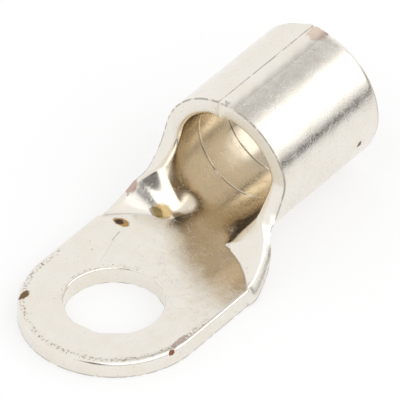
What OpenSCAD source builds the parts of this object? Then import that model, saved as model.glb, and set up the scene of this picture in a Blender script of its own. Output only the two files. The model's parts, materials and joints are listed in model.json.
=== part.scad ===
// Ring terminal for a stud, rolled and brazed from one blank of tin-plated copper sheet.
// The flat tongue carries the stud hole. Behind a curved fold the sheet curls up into
// the wire barrel, whose butt seam runs along the top. Millimetres. The origin is the
// centre of the stud hole on the underside, +X points at the barrel and +Z is up.

/* [Sheet] */
// Thickness of the copper sheet
sheet_t = 1.6; // [1.2:0.1:2]
// Radius rolled onto the inner edge of the blank by the punch
edge_roll = 0.4; // [0.2:0.05:0.5]

/* [Tongue] */
// Diameter of the stud hole
stud_d = 8.4; // [5.3:0.1:10.5]
// Width of the tongue, which is also the diameter of its round end
tongue_w = 16; // [14:0.5:20]
// Radius rolled onto the upper edge of the stud hole
hole_roll = 0.2; // [0.1:0.05:0.4]

/* [Barrel] */
// Inner diameter of the wire barrel
barrel_bore = 9.5; // [8:0.1:12]
// Length of the barrel from its front rim to its rear rim
barrel_len = 13; // [10:0.5:20]
// Distance from the centre of the stud hole to the barrel's front rim
stud_to_rim = 14.9; // [14:0.1:20]
// Radius of the outer edge at the barrel's rear rim
rear_round = 0.5; // [0.2:0.05:0.7]

/* [Neck] */
// Flat width of the blank at its waist, just in front of the barrel
neck_w = 15; // [13:0.1:16]
// Radius between the side of the neck and the barrel's front rim
neck_fillet = 2.6; // [1:0.1:2.8]
// Distance from the middle of the fold to the barrel's front rim
neck_len = 3.1; // [2.8:0.1:4]
// How far the curved fold runs forwards from its middle to its two ends
fold_sag = 4; // [3:0.1:5]
// Inside radius of the fold
fold_r = 1.2; // [0.6:0.1:2]
// Distance from the middle line at which each half of the fold fades out
fold_end = 3; // [2:0.1:4]
// Slope of the two wings behind the fold
wing_angle = 28; // [18:1:32]
// Slope that the wings have risen to where they start to round into the barrel
wall_angle = 52; // [44:1:58]

/* [Seam] */
// Width of the brazed band that closes the barrel
seam_w = 1.6; // [1:0.1:2.4]
// Depth of the brazed band below the barrel's outer surface at its two sides
seam_depth = 0.05; // [0.03:0.01:0.1]
// Depth of the notch that the blank's rounded corners leave at each end of the seam
notch_depth = 0.4; // [0.2:0.05:0.8]

/* [Grip grooves] */
// Number of rings pressed into the wall of the bore
groove_count = 3; // [1:1:3]
// Distance from the front rim to the first groove
groove_start = 2.6; // [2:0.1:3]
// Distance from one groove to the next
groove_pitch = 3.8; // [2:0.1:3.9]
// Width of a groove at the wall
groove_w = 0.3; // [0.2:0.05:0.5]
// Depth of a groove
groove_depth = 0.12; // [0.05:0.01:0.2]

/* [Hidden] */

tongue_r = tongue_w / 2;
bore_r = barrel_bore / 2;
outer_r = bore_r + sheet_t;
mid_r = bore_r + sheet_t / 2;
axis_z = outer_r;
half_t = sheet_t / 2;

// The fold is an arc in plan: fold_x is its middle and fold_edge_x its two ends.
fold_x = stud_to_rim - neck_len;
fold_edge_x = fold_x - fold_sag;
fold_plan_r = (pow(tongue_r, 2) + pow(fold_sag, 2)) / (2 * fold_sag);
fold_centre_x = fold_x - fold_plan_r;

// The wings rise from wing_angle to wall_angle between rise_from and rise_to. Between
// round_from and round_to the whole section takes on the round of the barrel.
rise_lead = 0.7;
rise_lag = 1.0;
round_lag = 0.3;
rise_from = fold_x - rise_lead;
rise_to = fold_x + rise_lag;
round_from = fold_x + round_lag;
round_to = stud_to_rim - round_lag;

// The neck is a hair thinner than what it joins and runs into it by lap, so that
// it meets the tongue and the barrel inside their walls.
skin = 0.02;
lap = 0.5;
neck_lead = 0.8;
neck_from = fold_edge_x - neck_lead;
fillet_from = stud_to_rim - neck_fillet;
// Steps along the neck, along its fillet, across its section and round a rolled edge
long_steps = 20;
fillet_steps = 7;
cross_steps = 22;
roll_steps = 3;
cut = 1;
$fn = 96;

function ease(u) = let (v = min(max(u, 0), 1)) v * v * (3 - 2 * v);

// Half of the blank's flat width at x, without the fillet and with it.
function waist(x) =
    let (travel = stud_to_rim - neck_fillet / 2 - fold_edge_x)
    tongue_r - (tongue_r - neck_w / 2) * ease((x - fold_edge_x) / travel);
function flare(x) =
    x <= fillet_from ? 0
    : neck_fillet - sqrt(max(pow(neck_fillet, 2) - pow(x - fillet_from, 2), 0));

// Half of the flat between the creases at x, measured to the middle of each crease.
function crease_half(x) =
    x <= fold_edge_x ? tongue_r + fold_r
    : max(sqrt(max(pow(fold_plan_r, 2) - pow(x - fold_centre_x, 2), 0)), fold_end);

// Section across the sheet's middle at s from the middle line, as y, z and slope: an
// arc of radius r that starts at from, and a straight wing once it has turned by angle.
function bent(s, from, r, angle) =
    let (turn = min(max(s - from, 0) / r * 180 / PI, angle),
        straight = max(s - from - r * angle * PI / 180, 0))
    [min(s, from) + r * sin(turn) + straight * cos(turn),
        r * (1 - cos(turn)) + straight * sin(turn), turn];

// Point of the section at x, s along the sheet's middle and n towards its inner side.
function folded(x, s, n) =
    let (
        side = s < 0 ? -1 : 1,
        r = fold_r + half_t,
        slope = wing_angle
            + (wall_angle - wing_angle) * ease((x - rise_from) / (rise_to - rise_from)),
        wing = bent(abs(s), crease_half(x) - r * slope * PI / 360, r, slope),
        round = bent(abs(s), 0, mid_r, 180),
        at = wing + (round - wing) * ease((x - round_from) / (round_to - round_from))
    )
    [x, side * (at[0] - n * sin(at[2])), half_t + at[1] + n * cos(at[2])];

// Places across the blank, as pairs of s and the drop of its rolled inner edge there.
function across(w) =
    let (roll_s = w - edge_roll)
    concat(
        [for (i = [roll_steps:-1:1]) let (a = 90 * i / roll_steps)
            [-roll_s - edge_roll * sin(a), edge_roll * (1 - cos(a))]],
        [for (i = [0:cross_steps]) [roll_s * (2 * i / cross_steps - 1), 0]],
        [for (i = [1:roll_steps]) let (a = 90 * i / roll_steps)
            [roll_s + edge_roll * sin(a), edge_roll * (1 - cos(a))]]
    );

// Closed outline of the section at x: its inner side, then its outer side backwards.
function neck_ring(x) =
    let (h = half_t - skin, places = across(waist(x) + flare(x) - skin))
    concat(
        [for (place = places) folded(x, place[0], h - place[1])],
        [for (i = [len(places) - 1:-1:0]) folded(x, places[i][0], -h)]
    );

// Stations along the neck: even as far as the fillet, then even in the fillet's angle.
neck_xs = concat(
    [for (i = [0:long_steps - 1]) neck_from + (fillet_from - neck_from) * i / long_steps],
    [for (i = [0:fillet_steps]) fillet_from + neck_fillet * sin(90 * i / fillet_steps)]
);

function moved(ring, dx) = [for (p = ring) [p[0] + dx, p[1], p[2]]];

module neck() {
    rings = concat(
        [moved(neck_ring(neck_xs[0]), -lap)],
        [for (x = neck_xs) neck_ring(x)],
        [moved(neck_ring(stud_to_rim), lap)]
    );
    count = len(rings[0]);
    last = len(rings) - 1;
    function at(i, j) = i * count + j % count;
    sides = [for (i = [0:last - 1], j = [0:count - 1], half = [0, 1])
        half == 0 ? [at(i, j), at(i + 1, j + 1), at(i + 1, j)]
            : [at(i, j), at(i, j + 1), at(i + 1, j + 1)]];
    front = [for (j = [0:count / 2 - 2])
        [at(0, count - 1 - j), at(0, count - 2 - j), at(0, j + 1), at(0, j)]];
    rear = [for (j = [0:count / 2 - 2])
        [at(last, j), at(last, j + 1), at(last, count - 2 - j), at(last, count - 1 - j)]];
    polyhedron(points = [for (ring = rings, p = ring) p],
        faces = concat(sides, front, rear), convexity = 6);
}

// Outline of a sheet edge: a wall from x = 0 to w whose upper corner is rolled.
module rolled_wall(w, h, roll) {
    square([w - roll, h]);
    square([w, h - roll]);
    translate([w - roll, h - roll]) circle(roll);
}

module tongue() {
    rotate_extrude() rolled_wall(tongue_r, sheet_t, edge_roll);
    for (side = [0, 1])
        mirror([0, side, 0])
            rotate([90, 0, 90])
                linear_extrude(neck_from) rolled_wall(tongue_r, sheet_t, edge_roll);
}

// Everything that the stud hole removes, with its rolled upper edge.
module stud_hole() {
    rotate_extrude() {
        translate([0, -cut]) square([stud_d / 2, sheet_t + 2 * cut]);
        difference() {
            translate([0, sheet_t - hole_roll])
                square([stud_d / 2 + hole_roll, hole_roll + cut]);
            translate([stud_d / 2 + hole_roll, sheet_t - hole_roll]) circle(hole_roll);
        }
    }
}

// Half section of the barrel's wall, radius along x and length along y.
module barrel_wall() {
    difference() {
        translate([bore_r, 0]) square([sheet_t, barrel_len]);
        for (i = [0:groove_count - 1])
            translate([bore_r, groove_start + i * groove_pitch])
                polygon([[-cut, -groove_w / 2], [0, -groove_w / 2], [groove_depth, 0],
                    [0, groove_w / 2], [-cut, groove_w / 2]]);
        difference() {
            translate([bore_r - cut, -cut]) square(edge_roll + cut);
            translate([bore_r + edge_roll, edge_roll]) circle(edge_roll);
        }
        difference() {
            translate([outer_r - rear_round, barrel_len - rear_round])
                square(rear_round + cut);
            translate([outer_r - rear_round, barrel_len - rear_round]) circle(rear_round);
        }
    }
}

// The brazed band is a flat sunk into the top of the barrel.
module seam_band() {
    floor_z = sqrt(pow(outer_r, 2) - pow(seam_w / 2, 2)) - seam_depth;
    translate([-cut, -seam_w / 2, floor_z]) cube([barrel_len + 2 * cut, seam_w, sheet_t]);
}

// A vee where the two corners of the blank meet at one end of the seam.
module seam_notch() {
    linear_extrude(outer_r + cut)
        polygon([[-cut, -notch_depth - cut], [notch_depth, 0], [-cut, notch_depth + cut]]);
}

module barrel() {
    translate([stud_to_rim, 0, axis_z])
        difference() {
            rotate([0, 90, 0]) rotate_extrude() barrel_wall();
            seam_band();
            seam_notch();
            translate([barrel_len, 0, 0]) mirror([1, 0, 0]) seam_notch();
        }
}

module ring_terminal() {
    color("gainsboro")
        difference() {
            union() {
                tongue();
                neck();
                barrel();
            }
            stud_hole();
        }
}

ring_terminal();
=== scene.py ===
import json
import math

import bpy
import numpy as np
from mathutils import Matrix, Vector
from mathutils.geometry import delaunay_2d_cdt


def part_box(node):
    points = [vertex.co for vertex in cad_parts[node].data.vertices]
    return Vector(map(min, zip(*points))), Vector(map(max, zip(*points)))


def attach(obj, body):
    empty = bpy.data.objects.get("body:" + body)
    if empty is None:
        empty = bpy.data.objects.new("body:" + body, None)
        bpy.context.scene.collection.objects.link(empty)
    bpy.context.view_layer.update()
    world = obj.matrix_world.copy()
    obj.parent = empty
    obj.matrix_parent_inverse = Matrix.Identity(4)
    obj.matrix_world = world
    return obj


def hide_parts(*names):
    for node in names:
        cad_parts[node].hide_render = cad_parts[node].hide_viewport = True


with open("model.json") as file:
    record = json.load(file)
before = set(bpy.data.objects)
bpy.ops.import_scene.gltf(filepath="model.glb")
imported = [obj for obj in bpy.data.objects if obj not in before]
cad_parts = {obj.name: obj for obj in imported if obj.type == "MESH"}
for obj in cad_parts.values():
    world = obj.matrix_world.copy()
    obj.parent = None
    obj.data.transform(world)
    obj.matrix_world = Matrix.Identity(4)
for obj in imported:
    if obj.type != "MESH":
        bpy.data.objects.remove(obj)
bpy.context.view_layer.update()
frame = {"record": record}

MM = 0.001
mounts = {m["name"]: m for m in frame["record"]["mounts"]}
low, high = (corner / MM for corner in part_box("ring_terminal"))

# The terminal's own sizes in millimetres. What the record and the solid give is read from
# them, and the rest repeats the named values of the source.
TONGUE_R = -low.x
REAR_X = high.x
AXIS_Z = mounts["wire_barrel"]["pos_m"][2] / MM
BORE_R = mounts["wire_barrel"]["dims"]["r_mm"]
STUD_R = mounts["stud_hole"]["dims"]["r_mm"]
SHEET_T = AXIS_Z - BORE_R
RIM_X = 14.9
NECK_W = 15.0
NECK_FILLET = 2.6
NECK_LEN = 3.1
FOLD_SAG = 4.0
FOLD_R = 1.2
FOLD_END = 3.0
WING_ANGLE = 28.0
WALL_ANGLE = 52.0
GROOVES = (2.6, 6.4, 10.2)
GROOVE_W = 0.2
GROOVE_DEPTH = 0.1

HALF_T = SHEET_T / 2
MID_R = BORE_R + HALF_T
FOLD_X = RIM_X - NECK_LEN
FOLD_EDGE_X = FOLD_X - FOLD_SAG
WAIST_TRAVEL = RIM_X - NECK_FILLET / 2 - FOLD_EDGE_X
FILLET_X = RIM_X - NECK_FILLET
HALF_TURN = math.pi * MID_R


# ---------------------------------------------------------------- node trees

class Wire:
    """A socket in a node tree. Python's operators on it add Math nodes."""

    def __init__(self, net, socket):
        self.net, self.socket = net, socket

    def math(self, operation, *others, clamp=False):
        return self.net.node("ShaderNodeMath", {"operation": operation, "use_clamp": clamp},
                             [self, *others])

    def __add__(self, other): return self.math("ADD", other)
    def __sub__(self, other): return self.math("SUBTRACT", other)
    def __mul__(self, other): return self.math("MULTIPLY", other)
    def __truediv__(self, other): return self.math("DIVIDE", other)
    def __pow__(self, other): return self.math("POWER", other)
    def __neg__(self): return self.math("MULTIPLY", -1.0)
    def __rsub__(self, other): return self.net.number("SUBTRACT", other, self)
    def __rtruediv__(self, other): return self.net.number("DIVIDE", other, self)
    __radd__ = __add__
    __rmul__ = __mul__

    def at_most(self, other): return self.math("MINIMUM", other)
    def at_least(self, other): return self.math("MAXIMUM", other)
    def over(self, other): return self.math("GREATER_THAN", other)
    def under(self, other): return self.math("LESS_THAN", other)
    def size(self): return self.math("ABSOLUTE")
    def sign(self): return self.math("SIGN")
    def sin(self): return self.math("SINE")
    def cos(self): return self.math("COSINE")
    def root(self): return self.math("SQRT")
    def clamped(self): return self.math("ADD", 0.0, clamp=True)

    def step(self, start, end):
        """0 up to start, 1 from end on, and a smooth rise between, either way round."""
        return self.net.node("ShaderNodeMapRange", {"interpolation_type": "SMOOTHSTEP"},
                             {"Value": self, "From Min": start, "From Max": end})

    def ease(self):
        """The smooth rise from 0 to 1 that the fold uses, clamped at both ends."""
        v = self.clamped()
        return v * v * (3.0 - 2.0 * v)

    def parts(self):
        """The x, y and z of a vector."""
        split = self.net.node("ShaderNodeSeparateXYZ", {}, [self])
        return [Wire(self.net, out) for out in split.socket.node.outputs[:3]]


class Net:
    """A node tree, and the one way in which nodes are put into it."""

    def __init__(self, tree):
        self.tree = tree

    def node(self, kind, settings=None, inputs=(), out=0):
        """Adds a node: its settings first, then values or links by place or by name."""
        made = self.tree.nodes.new(kind)
        for name, value in (settings or {}).items():
            if name == "stops":
                ramp = made.color_ramp
                while len(ramp.elements) < len(value):
                    ramp.elements.new(1.0)
                for element, (position, colour) in zip(ramp.elements, value):
                    element.position, element.color = position, (*colour, 1.0)
            else:
                setattr(made, name, value)
        pairs = inputs.items() if isinstance(inputs, dict) else enumerate(inputs)
        for key, value in pairs:
            if isinstance(value, Wire):
                self.tree.links.new(value.socket, made.inputs[key])
            else:
                made.inputs[key].default_value = value
        return Wire(self, made.outputs[out]) if made.outputs else None

    def number(self, operation, *values):
        return self.node("ShaderNodeMath", {"operation": operation}, values)

    def vector(self, operation, *values, out=0):
        return self.node("ShaderNodeVectorMath", {"operation": operation}, values, out)

    def mix(self, factor, first, second, blend="MIX"):
        """One colour over another."""
        return self.node("ShaderNodeMix", {"data_type": "RGBA", "blend_type": blend},
                         {0: factor, 6: first, 7: second}, out=2)

    def joined(self, x, y, z):
        return self.node("ShaderNodeCombineXYZ", {}, [x, y, z])


# ---------------------------------------------------------------- the folded sheet

def smooth(u):
    v = min(max(u, 0.0), 1.0)
    return v * v * (3 - 2 * v)


def waist(x):
    return TONGUE_R - (TONGUE_R - NECK_W / 2) * smooth((x - FOLD_EDGE_X) / WAIST_TRAVEL)


SPACING = 0.24
SEAM_SHIFT = 0.55
SEAM_GAP = 0.01
CORNER_R = 0.22


def side_of_blank(side, seam):
    """Points (x, s) of one side of the flat blank, from the tongue's tip to the rear."""
    def steps(length):
        return max(2, round(length / SPACING))

    def arc(cx, cs, r, start, end):
        n = max(4, steps(abs(end - start) * r))
        return [(cx + r * math.cos(start + (end - start) * i / n),
                 cs + r * math.sin(start + (end - start) * i / n)) for i in range(n)]

    points = arc(0, 0, TONGUE_R, math.pi, math.pi / 2)
    n = steps(FOLD_EDGE_X)
    points += [(FOLD_EDGE_X * i / n, TONGUE_R) for i in range(n)]
    n = steps(FILLET_X - FOLD_EDGE_X)
    xs = [FOLD_EDGE_X + (FILLET_X - FOLD_EDGE_X) * i / n for i in range(n)]
    points += [(x, waist(x)) for x in xs]
    n = steps(NECK_FILLET * math.pi / 2)
    for i in range(n):
        a = math.pi / 2 * i / n
        x = FILLET_X + NECK_FILLET * math.sin(a)
        points.append((x, waist(x) + NECK_FILLET * (1 - math.cos(a))))
    start = NECK_W / 2 + NECK_FILLET
    n = steps(seam - CORNER_R - start)
    points += [(RIM_X, start + (seam - CORNER_R - start) * i / n) for i in range(n)]
    points += arc(RIM_X + CORNER_R, seam - CORNER_R, CORNER_R, math.pi, math.pi / 2)
    n = steps(REAR_X - RIM_X - 2 * CORNER_R)
    x0, x1 = RIM_X + CORNER_R, REAR_X - CORNER_R
    points += [(x0 + (x1 - x0) * i / n, seam) for i in range(n)]
    points += arc(x1, seam - CORNER_R, CORNER_R, math.pi / 2, 0)
    return [(x, side * s) for x, s in points]


def blank_outline():
    """The blank's outline, anticlockwise, as an array of (x, s)."""
    right = side_of_blank(-1, HALF_TURN + SEAM_SHIFT - SEAM_GAP)
    left = side_of_blank(1, HALF_TURN - SEAM_SHIFT - SEAM_GAP)
    start = right[-1][1]
    end = left[-1][1]
    n = round((end - start) / SPACING)
    rear = [(REAR_X, start + (end - start) * i / n) for i in range(1, n)]
    rear = [p for p in rear if min(p[1] - right[-1][1], left[-1][1] - p[1]) > 0.05]
    return np.array(right + rear + left[:0:-1])


def hole_outline():
    """The stud hole's outline, clockwise."""
    n = round(2 * math.pi * STUD_R / SPACING)
    turns = [-2 * math.pi * i / n for i in range(n)]
    return np.array([(STUD_R * math.cos(a), STUD_R * math.sin(a)) for a in turns])


def out_of(loop):
    """Unit normals that point out of the sheet along a loop."""
    ahead, behind = np.roll(loop, -1, axis=0), np.roll(loop, 1, axis=0)
    along = ahead - behind
    normal = np.stack([along[:, 1], -along[:, 0]], axis=1)
    return normal / np.linalg.norm(normal, axis=1)[:, None]


def between(value, start, end):
    return smooth((value - start) / (end - start))


def inner_roll(x, s):
    """Radius that the punch rolled onto the inner edge."""
    tongue = 0.45 - 0.2 * between(x, -4, 1)
    neck = tongue + (0.4 - tongue) * between(x, 7, 10)
    seam_off = min(HALF_TURN - SEAM_SHIFT - s, s + HALF_TURN + SEAM_SHIFT)
    seam = 0.1 + (neck - 0.1) * between(seam_off, 0.3, 1.4)
    return seam + (0.1 - seam) * between(x, RIM_X + 0.3, RIM_X + 0.9)


def outer_round(x, s):
    """Radius of the outer edge, sharp but for the rear rim."""
    seam_off = min(HALF_TURN - SEAM_SHIFT - s, s + HALF_TURN + SEAM_SHIFT)
    rear = 0.12 + 0.38 * between(seam_off, 0.2, 1.2)
    return 0.07 + (rear - 0.07) * between(x, REAR_X - 0.5, REAR_X - 0.3)


def inside(points, loop):
    """Which points lie inside a loop."""
    hit = np.zeros(len(points), bool)
    for (x0, s0), (x1, s1) in zip(loop, np.roll(loop, -1, axis=0)):
        if s0 == s1:
            continue
        crosses = (points[:, 1] >= min(s0, s1)) & (points[:, 1] < max(s0, s1))
        x = x0 + (points[:, 1] - s0) * (x1 - x0) / (s1 - s0)
        hit ^= crosses & (points[:, 0] < x)
    return hit


def nearest(points, loops):
    """Distance from each point to the nearest point of the loops."""
    rim = np.concatenate(loops)
    return np.concatenate([
        np.sqrt(((part[:, None] - rim[None]) ** 2).sum(2)).min(1)
        for part in np.array_split(points, max(1, len(points) // 2000))])


def blank_mesh():
    """The flat blank as a closed mesh. Its coordinates are x, s across the sheet's
    middle, and n from the outer to the inner side."""
    loops = [blank_outline(), hole_outline()]
    normals = [out_of(loop) for loop in loops]
    rolls = [np.array([inner_roll(x, s) for x, s in loops[0]]), np.full(len(loops[1]), 0.2)]
    rounds = [np.array([outer_round(x, s) for x, s in loops[0]]), np.full(len(loops[1]), 0.07)]
    places, faces = [], []

    def add(points, n):
        first = len(places)
        places.extend((x, s, h) for (x, s), h in zip(points, n))
        return first

    # The edge, row by row, from the inner face over the roll to the outer face.
    tops, bottoms = [], []
    for loop, normal, roll, rounded in zip(loops, normals, rolls, rounds):
        rows = []
        for i in range(6):
            a = math.pi / 2 * i / 5
            rows.append(add(loop - normal * (roll * (1 - math.sin(a)))[:, None],
                            HALF_T - roll * (1 - math.cos(a))))
        rows.append(add(loop, (rounded - roll) / 2))
        for i in range(4):
            a = math.pi / 2 * i / 3
            rows.append(add(loop - normal * (rounded * (1 - math.cos(a)))[:, None],
                            -HALF_T + rounded * (1 - math.sin(a))))
        count = len(loop)
        for upper, lower in zip(rows, rows[1:]):
            for i in range(count):
                j = (i + 1) % count
                faces.append((upper + i, lower + i, lower + j, upper + j))
        tops.append((rows[0], count))
        bottoms.append((rows[-1], count))

    # Even points between the edges. The inner face has a row at each line of a groove.
    xs = np.arange(low.x, REAR_X, SPACING)
    ss = np.arange(-HALF_TURN - 1, HALF_TURN + 1, SPACING * 0.87)
    grid = np.array([(x + SPACING / 2 * (k % 2), s) for k, s in enumerate(ss) for x in xs])
    lines = [RIM_X + g + d for g in GROOVES for d in (-GROOVE_W / 2, 0, GROOVE_W / 2)]
    spread = np.arange(-HALF_TURN - 1, HALF_TURN + 1, SPACING * 0.8)
    grooves = np.array([(x, s) for x in lines for s in spread])
    clear = np.abs(grid[:, :1] - np.array(lines)).min(1) > SPACING * 0.55

    def face(rims, points, top):
        rim_ids = [first + i for first, count in rims for i in range(count)]
        rim_at = np.array([places[i][:2] for i in rim_ids])
        outer, hole = rim_at[:rims[0][1]], rim_at[rims[0][1]:]
        keep = inside(points, outer) & ~inside(points, hole)
        keep &= nearest(points, [rim_at]) > SPACING * 0.55
        points = points[keep]
        depth = np.zeros(len(points))
        if top:
            for g in GROOVES:
                depth += GROOVE_DEPTH * (np.abs(points[:, 0] - RIM_X - g) < 0.01)
        first = add(points, HALF_T - depth if top else np.full(len(points), -HALF_T))
        ids = rim_ids + list(range(first, first + len(points)))
        bounds, start = [], 0
        for _, count in rims:
            bounds += [(start + i, start + (i + 1) % count) for i in range(count)]
            start += count
        at = [Vector(p) for p in np.concatenate([rim_at, points])]
        _, _, cut, origin, _, _ = delaunay_2d_cdt(at, bounds, [], 1, 1e-7)
        for triangle in cut:
            a, b, c = (origin[v][0] for v in triangle)
            middle = (at[a] + at[b] + at[c]) / 3
            if middle.length < STUD_R:
                continue
            if (at[b] - at[a]).cross(at[c] - at[a]) < 0:
                b, c = c, b
            faces.append((ids[a], ids[b], ids[c]) if top else (ids[a], ids[c], ids[b]))

    face(tops, np.concatenate([grid[clear], grooves]), True)
    face(bottoms, grid, False)

    mesh = bpy.data.meshes.new("folded_sheet")
    co = np.array(places)
    mesh.from_pydata((co * MM).tolist(), [], faces)
    blank = mesh.attributes.new("blank", "FLOAT_VECTOR", "POINT")
    blank.data.foreach_set("vector", co.astype(np.float32).ravel())
    rim = mesh.attributes.new("rim_off", "FLOAT", "POINT")
    rim.data.foreach_set("value", nearest(co[:, :2], [loops[0]]).astype(np.float32))
    return mesh


def fold_tree(material):
    """Geometry nodes that fold the blank: a curved crease between tongue and neck, then
    a curl that closes into the round barrel."""
    tree = bpy.data.node_groups.new("fold_the_blank", "GeometryNodeTree")
    tree.interface.new_socket("Geometry", in_out="INPUT", socket_type="NodeSocketGeometry")
    sizes = {
        "Tongue Radius": TONGUE_R * MM,
        "Rim Position": RIM_X * MM,
        "Neck Length": NECK_LEN * MM,
        "Fold Sag": FOLD_SAG * MM,
        "Fold Radius": FOLD_R * MM,
        "Sheet Thickness": SHEET_T * MM,
        "Barrel Radius": MID_R * MM,
        "Fold End": FOLD_END * MM,
        "Wing Angle": math.radians(WING_ANGLE),
        "Wall Angle": math.radians(WALL_ANGLE),
        "Rise Lead": 0.7 * MM,
        "Rise Lag": 1.0 * MM,
        "Round Lag": 0.3 * MM,
    }
    sockets = {name: tree.interface.new_socket(name, in_out="INPUT",
                                               socket_type="NodeSocketFloat")
               for name in sizes}
    tree.interface.new_socket("Geometry", in_out="OUTPUT", socket_type="NodeSocketGeometry")
    net = Net(tree)
    group = tree.nodes.new("NodeGroupInput")
    given = {out.name: Wire(net, out) for out in group.outputs if out.name}
    half_t = given["Sheet Thickness"] * 0.5
    fold_x = given["Rim Position"] - given["Neck Length"]
    edge_x = fold_x - given["Fold Sag"]
    tongue_r = given["Tongue Radius"]
    plan_r = (tongue_r * tongue_r + given["Fold Sag"] * given["Fold Sag"]) \
        / (given["Fold Sag"] * 2.0)
    x, s, n = net.node("GeometryNodeInputPosition").parts()
    across = s.size()

    def bent(start, r, angle):
        """An arc that starts at start and goes straight on once it has turned by angle."""
        turn = ((across - start).at_least(0.0) / r).at_most(angle)
        straight = (across - start - r * angle).at_least(0.0)
        return (across.at_most(start) + r * turn.sin() + straight * turn.cos(),
                r * (1.0 - turn.cos()) + straight * turn.sin(), turn)

    in_plan = x - (fold_x - plan_r)
    crease = (plan_r * plan_r - in_plan * in_plan).at_least(0.0).root()
    crease = crease.at_least(given["Fold End"])
    ahead = x.under(edge_x)
    crease = crease * (1.0 - ahead) + (tongue_r + given["Fold Radius"]) * ahead
    crease_r = given["Fold Radius"] + half_t
    risen = ((x - fold_x + given["Rise Lead"])
             / (given["Rise Lead"] + given["Rise Lag"])).ease()
    angle = given["Wing Angle"] + (given["Wall Angle"] - given["Wing Angle"]) * risen
    wing = bent(crease - crease_r * angle * 0.5, crease_r, angle)
    barrel = bent(across * 0.0, given["Barrel Radius"], math.pi * 1.2)
    round_from = fold_x + given["Round Lag"]
    share = ((x - round_from)
             / (given["Rim Position"] - given["Round Lag"] - round_from)).ease()
    y, z, turn = (a + (b - a) * share for a, b in zip(wing, barrel))
    y = y - n * turn.sin()
    z = half_t + z + n * turn.cos()
    folded = net.joined(x, y * s.sign(), z)

    shaped = net.node("GeometryNodeSetPosition", {},
                      {"Geometry": given["Geometry"], "Position": folded})
    real = net.node("GeometryNodeRealizeInstances", {}, [shaped])
    dressed = net.node("GeometryNodeSetMaterial", {}, {"Geometry": real, "Material": material})
    net.node("NodeGroupOutput", {}, [dressed])
    return tree, {sockets[name].identifier: value for name, value in sizes.items()}


def made_plain(name, mesh, tree, values):
    """Runs a tree on a mesh and returns a plain mesh object."""
    source = bpy.data.objects.new("flat_" + name, mesh)
    bpy.context.scene.collection.objects.link(source)
    modifier = source.modifiers.new("fold", "NODES")
    modifier.node_group = tree
    for identifier, value in values.items():
        modifier[identifier] = value
    graph = bpy.context.evaluated_depsgraph_get()
    result = bpy.data.meshes.new_from_object(
        source.evaluated_get(graph), preserve_all_data_layers=True, depsgraph=graph)
    result.name = name
    bpy.data.objects.remove(source)
    return placed(name, result)


def placed(name, mesh):
    piece = bpy.data.objects.new(name, mesh)
    bpy.context.scene.collection.objects.link(piece)
    mesh.shade_smooth()
    mesh.set_sharp_from_angle(angle=math.radians(38))
    return piece


# ---------------------------------------------------------------- the brazed seam

BRAZE_FROM, BRAZE_TO = -1.0, 0.65


def braze_mesh():
    """The band of braze in the butt seam, level with the barrel, with a drop at its
    front end, and a thin web down through the gap to the bore."""
    outer = AXIS_Z
    butt = math.pi - (HALF_TURN - SEAM_SHIFT) / MID_R
    rows, around = 110, 16
    points, faces = [], []
    for i in range(rows + 1):
        t = i / rows
        x = RIM_X + 0.05 + (REAR_X - RIM_X - 0.25) * t
        wander = 0.035 * math.sin(7.1 * t + 0.4) + 0.02 * math.sin(31 * t)
        y0, y1 = BRAZE_FROM + wander, BRAZE_TO + 0.6 * wander
        ring = []
        for j in range(around + 1):
            u = j / around
            y = y1 + (y0 - y1) * u
            proud = 0.022 * math.sin(math.pi * u) ** 0.6 - 0.006
            proud += 0.006 * math.sin(43 * t + 5 * u) * math.sin(math.pi * u)
            drop = math.exp(-((x - 15.25) / 0.3) ** 2 - ((y - 0.3) / 0.27) ** 2)
            r = outer + proud + 0.15 * drop
            a = math.asin(y / outer)
            ring.append((x, r * math.sin(a), AXIS_Z + r * math.cos(a)))
        for a, r in ((y0 / outer, outer - 0.25), (butt - 0.03, outer - 0.3),
                     (butt - 0.018, BORE_R + 0.04), (butt + 0.018, BORE_R + 0.04),
                     (butt + 0.01, outer - 0.3), (y1 / outer - 0.002, outer - 0.25)):
            ring.append((x, r * math.sin(a), AXIS_Z + r * math.cos(a)))
        points += ring
    count = around + 7
    for i in range(rows):
        for j in range(count):
            k = (j + 1) % count
            faces.append((i * count + j, i * count + k, (i + 1) * count + k, (i + 1) * count + j))
    last = rows * count
    faces.append(tuple(range(count - 1, -1, -1)))
    faces.append(tuple(range(last, last + count)))
    mesh = bpy.data.meshes.new("braze_seam")
    mesh.from_pydata([Vector(p) * MM for p in points], [], faces)
    return mesh


def outwards(mesh):
    """Turns a closed mesh's faces outwards."""
    import bmesh
    bm = bmesh.new()
    bm.from_mesh(mesh)
    bmesh.ops.recalc_face_normals(bm, faces=bm.faces)
    bm.to_mesh(mesh)
    bm.free()


# ---------------------------------------------------------------- materials

def new_material(name):
    material = bpy.data.materials.new(name)
    material.use_nodes = True
    material.node_tree.nodes.clear()
    return material, Net(material.node_tree)


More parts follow.
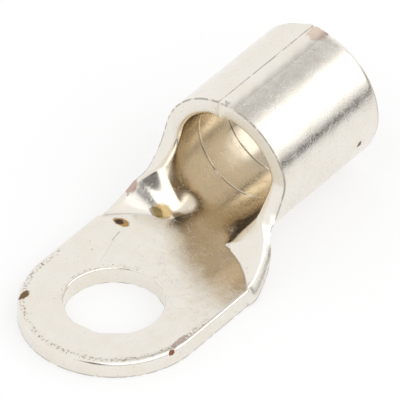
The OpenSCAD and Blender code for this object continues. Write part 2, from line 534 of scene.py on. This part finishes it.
class Finish:
    """What the tin's marks are made from: places in millimetres, on the object and on
    the blank that it was folded from, and noise that repeats nowhere on the part."""

    def __init__(self, net):
        self.net = net
        self.place = net.vector("SCALE", net.node("ShaderNodeTexCoord", out="Object"))
        self.place.socket.node.inputs["Scale"].default_value = 1 / MM
        self.x, self.y, self.z = self.place.parts()
        blank = net.node("ShaderNodeAttribute", {"attribute_name": "blank"}, out="Vector")
        self.along, self.across, self.through = blank.parts()
        self.rim = net.node("ShaderNodeAttribute", {"attribute_name": "rim_off"}, out="Fac")

    def noise(self, scale, detail=2.0, seed=0.0, rough=0.5, stretch=None):
        """Noise of about scale features a millimetre, longer where stretch is below 1."""
        at = self.net.vector("ADD", self.place, (seed * 17.3, seed * 5.1, seed * 9.7))
        if stretch:
            at = self.net.vector("MULTIPLY", at, stretch)
        return self.net.node("ShaderNodeTexNoise", {"noise_dimensions": "3D"}, {
            "Vector": at, "Scale": scale, "Detail": detail, "Roughness": rough})

    def hairs(self, scale, width, keep, seed):
        """Short curved hairlines: thin level lines of one noise, where another is high."""
        line = (self.noise(scale, 1.0, seed) - 0.5).size().step(width, width * 0.3)
        return line * self.noise(scale * 0.9, 1.0, seed + 3).step(keep, keep + 0.06)

    def blot(self, centre, radii, ragged=0.35, grain=2.2, seed=1.0):
        """1 within a ragged spot and 0 outside it, softly."""
        off = self.net.vector("DIVIDE", self.net.vector("SUBTRACT", self.place, centre), radii)
        far = self.net.vector("LENGTH", off, out=1)
        far = far + (self.noise(grain, 3.0, seed, 0.65) - 0.5) * (2.0 * ragged)
        return far.step(1.0, 0.72)

    def streak(self, start, end, width, seed=1.0):
        """1 along a line between two points, broken up by noise."""
        a, b = Vector(start), Vector(end)
        off = self.net.vector("SUBTRACT", self.place, start)
        share = self.net.vector("DOT_PRODUCT", off, tuple(b - a), out=1)
        share = (share / (b - a).length_squared).clamped()
        foot = self.net.vector("SCALE", tuple(b - a))
        self.net.tree.links.new(share.socket, foot.socket.node.inputs["Scale"])
        far = self.net.vector("LENGTH", self.net.vector("SUBTRACT", off, foot), out=1)
        far = far + (self.noise(3.0, 2.0, seed) - 0.5) * (width * 1.6)
        return far.step(width, width * 0.4)


def tin_plate():
    """Tin on copper: softly polished, with a fine grain, hairline scratches, painted shade: a
    straw brown tint inside the neck and bore and dark lines in its grooves, worn and speckled
    edges, and a few brown stains."""
    material, net = new_material("tin_plate")
    f = Finish(net)
    inner = f.through.step(0.2, 0.6)
    barrel = f.along.step(RIM_X - 0.4, RIM_X + 0.2)
    outside = barrel * (1.0 - inner)
    # Painted shade: the inner side from the neck into the bore is tinted a darker straw brown.
    heat = inner * f.along.step(11.2, 14.0)

    colour = net.mix(f.noise(0.45, 3.0, 1).step(0.35, 0.7),
                     (0.86, 0.82, 0.75, 1), (0.84, 0.79, 0.705, 1))
    colour = net.mix(heat, colour, (0.76, 0.67, 0.53, 1))
    specks = f.noise(2.6, 2.0, 4).step(0.70, 0.76)
    colour = net.mix(specks * 0.45, colour, (0.42, 0.36, 0.28, 1))

    # The rolled and sheared edges of the blank.
    band = f.rim.step(0.15, 0.3) * f.rim.step(0.75, 0.5) * f.through.step(0.3, 0.5)
    front = (f.along - 3.0).step(0.0, -1.5)
    worn = band * front * f.noise(4.2, 3.0, 2, 0.7).step(0.50, 0.62)
    sheared = f.rim.step(0.16, 0.05) * f.through.step(-0.62, -0.74)
    sheared = sheared * f.noise(1.6, 3.0, 6).step(0.36, 0.50)
    hole_edge = ((f.x * f.x + f.y * f.y).root() - STUD_R - 0.28).size().step(0.26, 0.05)
    hole_edge = hole_edge * (f.x * 0.6 + f.y * 0.8).step(0.5, 3.0) * f.through.step(0.5, 0.7)
    worn = worn.at_least(hole_edge * f.noise(3.6, 3.0, 9, 0.7).step(0.54, 0.66))
    colour = net.mix(worn * 0.7, colour, (0.20, 0.15, 0.10, 1))
    colour = net.mix(sheared * 0.55, colour, (0.16, 0.13, 0.10, 1))

    # Stains: each is dark brown in its middle and straw to red-brown round it.
    spot = f.blot((8.29, 5.78, 1.6), (0.52, 0.86, 0.9), 0.34, 1.7, 2)
    core = f.blot((8.24, 5.94, 1.6), (0.34, 0.5, 0.8), 0.5, 2.6, 5)
    crease = f.blot((11.25, 3.75, 1.85), (0.75, 1.0, 0.7), 0.45, 1.6, 3)
    crease_core = f.blot((10.95, 4.15, 1.75), (0.4, 0.75, 0.5), 0.6, 2.4, 7)
    rust = f.blot((-2.2, -7.75, 1.45), (0.42, 0.3, 0.4), 0.4, 2.6, 4)
    rust = rust.at_least(0.55 * f.blot((-1.0, -7.45, 1.5), (1.5, 0.3, 0.3), 0.7, 3.2, 8))
    dot = f.blot((25.1, -6.1, 5.1), (0.34, 0.5, 0.32), 0.6, 3.2, 6)
    fleck = f.blot((-4.0, 6.3, 1.55), (0.75, 0.35, 0.4), 0.75, 3.4, 3)
    wing = f.blot((11.0, 6.9, 3.3), (1.0, 0.6, 0.9), 0.7, 3.0, 11) * 0.6
    rear = f.along.step(REAR_X - 0.55, REAR_X - 0.15) * (1.0 - inner)
    rear_stain = rear * (f.y + 5.6).size().step(1.6, 0.6)
    braze_end = f.blot((27.2, -0.3, 12.6), (1.3, 1.0, 0.8), 0.5, 2.0, 12) * 0.5
    ends = net.mix(spot, colour, (0.42, 0.24, 0.075, 1))
    ends = net.mix(core, ends, (0.045, 0.02, 0.01, 1))
    ends = net.mix(crease * 0.85, ends, (0.62, 0.43, 0.15, 1))
    ends = net.mix(crease_core * 0.7, ends, (0.16, 0.11, 0.03, 1))
    ends = net.mix(rust, ends, (0.22, 0.075, 0.035, 1))
    ends = net.mix(dot, ends, (0.15, 0.11, 0.05, 1))
    ends = net.mix(fleck, ends, (0.22, 0.14, 0.07, 1))
    ends = net.mix(wing, ends, (0.35, 0.14, 0.09, 1))
    ends = net.mix(rear_stain * 0.75, ends, (0.30, 0.17, 0.08, 1))
    colour = net.mix(braze_end, ends, (0.62, 0.40, 0.29, 1))
    dirt = spot.at_least(core).at_least(rust).at_least(dot).at_least(crease * 0.6)
    dirt = dirt.at_least(fleck * 0.8).at_least(worn * 0.6).at_least(sheared * 0.5)

    # Painted shade: a dark, broken line along each ring pressed into the bore.
    for groove in GROOVES:
        ring = (f.along - RIM_X - groove).size().step(0.10, 0.03) * inner
        ring = ring * f.noise(0.8, 2.0, 13).step(0.30, 0.52)
        colour = net.mix(ring * 0.85, colour, (0.20, 0.14, 0.08, 1))

    scratch = f.streak((7.22, 5.12, 1.6), (6.05, 4.94, 1.6), 0.05, 2)
    scratch = scratch.at_least(f.streak((6.3, 4.9, 1.6), (3.19, 3.97, 1.6), 0.03, 5) * 0.4)
    hairs = f.hairs(0.9, 0.010, 0.46, 1).at_least(f.hairs(1.6, 0.012, 0.5, 8))
    marks = f.hairs(2.4, 0.03, 0.42, 21)
    rough = 0.17 + 0.06 * f.noise(0.7, 3.0, 15).step(0.4, 0.65) + 0.05 * outside
    rough = (rough + 0.35 * dirt + 0.10 * hairs).clamped()

    grain = f.noise(7.0, 3.0, 30, 0.6)
    height = grain * (0.30 + 0.9 * outside) + f.noise(0.5, 1.0, 31) * 9.0
    height = height + f.noise(2.0, 2.0, 33) * 0.9
    height = height - hairs * 0.7 - marks * outside * 0.9 - scratch * 1.5 + dirt * 0.8
    bump = net.node("ShaderNodeBump", {}, {
        "Strength": 1.0, "Distance": 0.003 * MM, "Height": height})
    metal = 1.0 - 0.9 * spot.at_least(core).at_least(rust).at_least(dot)
    surface = net.node("ShaderNodeBsdfPrincipled", {}, {
        "Base Color": net.mix(scratch * 0.6, colour, (0.3, 0.26, 0.2, 1)),
        "Metallic": metal, "Roughness": rough, "Normal": bump})
    net.node("ShaderNodeOutputMaterial", {}, {"Surface": surface})
    return material


# ---------------------------------------------------------------- the studio

def studio_floor():
    """A round white table. It keeps the shadow and fades into the white around it."""
    material, net = new_material("studio_floor")
    x, y, _ = net.node("ShaderNodeTexCoord", {}, {}, out="Object").parts()
    off = ((x - 9 * MM) * (x - 9 * MM) + y * y).root()
    rays = net.node("ShaderNodeLightPath", {}, {}, out="Is Camera Ray") \
        + net.node("ShaderNodeLightPath", {}, {}, out="Is Glossy Ray") \
        + net.node("ShaderNodeLightPath", {}, {}, out="Is Transmission Ray")
    plain = rays.clamped() * (0.6 + 0.4 * off.step(40 * MM, 68 * MM))
    paper = net.node("ShaderNodeBsdfDiffuse", {}, {"Color": (0.93, 0.93, 0.93, 1.0)})
    white = net.node("ShaderNodeEmission", {}, {"Color": (1, 1, 1, 1), "Strength": 1.0})
    both = net.node("ShaderNodeMixShader", {}, [plain, paper, white])
    net.node("ShaderNodeOutputMaterial", {}, {"Surface": both})
    n, r = 96, 70 * MM
    mesh = bpy.data.meshes.new("studio_floor")
    ring = [(9 * MM + r * math.cos(2 * math.pi * i / n), r * math.sin(2 * math.pi * i / n),
             -0.02 * MM) for i in range(n)]
    mesh.from_pydata(ring, [], [tuple(range(n))])
    mesh.materials.append(material)
    floor = bpy.data.objects.new("studio_floor", mesh)
    bpy.context.scene.collection.objects.link(floor)


def studio_world():
    """White all round for the camera. What the metal mirrors is the studio: pale walls,
    a dark gap past the table's edge on the right, a light box over it and a dim roof."""
    world = bpy.data.worlds.new("studio")
    world.use_nodes = True
    world.node_tree.nodes.clear()
    net = Net(world.node_tree)
    towards = net.node("ShaderNodeTexCoord", {}, {}, out="Generated")
    x, y, z = towards.parts()

    def toward(direction, inner, outer):
        """1 within inner degrees of a direction, 0 beyond outer degrees."""
        unit = Vector(direction).normalized()
        cosine = net.vector("DOT_PRODUCT", towards, tuple(unit), out=1)
        return cosine.step(math.cos(math.radians(outer)), math.cos(math.radians(inner)))

    near = (-y).step(0.14, 0.36)
    gap = near * z.step(-0.16, -0.09) * z.step(0.10, 0.03)
    box = near * z.step(0.18, 0.32) * z.step(0.82, 0.74)
    roof = toward((0.50, 0.08, 0.80), 10, 22)
    door = toward((-0.90, -0.27, 0.33), 9, 17)
    level = (1.0 - 0.95 * gap) + 0.7 * box
    level = level * (1.0 - 0.42 * roof) * (1.0 - 0.93 * door)
    seen = net.node("ShaderNodeLightPath", {}, {}, out="Is Camera Ray")
    level = level * (1.0 - seen) + seen
    light = net.node("ShaderNodeBackground", {}, {"Color": (1, 1, 1, 1), "Strength": level})
    net.node("ShaderNodeOutputWorld", {}, {"Surface": light})
    bpy.context.scene.world = world


def photo_camera():
    """Looks down at the stud hole's side from the front left, from far away."""
    azimuth, elevation, distance = math.radians(-52.27), math.radians(39.39), 0.9
    back = Vector((math.sin(azimuth) * math.cos(elevation),
                   -math.cos(azimuth) * math.cos(elevation), math.sin(elevation)))
    data = bpy.data.cameras.new("camera")
    data.sensor_width = 36.0
    data.lens = 36.0 * distance / (32.92 * MM)
    data.clip_start, data.clip_end = 0.01, 10.0
    camera = bpy.data.objects.new("camera", data)
    bpy.context.scene.collection.objects.link(camera)
    camera.location = Vector((9.06, -1.89, 7.33)) * MM + back * distance
    camera.rotation_mode = "QUATERNION"
    camera.rotation_quaternion = (-back).to_track_quat("-Z", "Y")
    bpy.context.scene.camera = camera


photo_camera()
tin = tin_plate()
fold, fold_sizes = fold_tree(tin)
sheet = made_plain("folded_sheet", blank_mesh(), fold, fold_sizes)
braze = braze_mesh()
outwards(braze)
seam = placed("braze_seam", braze)
seam.data.materials.append(tin)
for piece in (sheet, seam):
    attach(piece, "root")
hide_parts("ring_terminal")
studio_floor()
studio_world()
bpy.context.scene.view_settings.view_transform = "Standard"
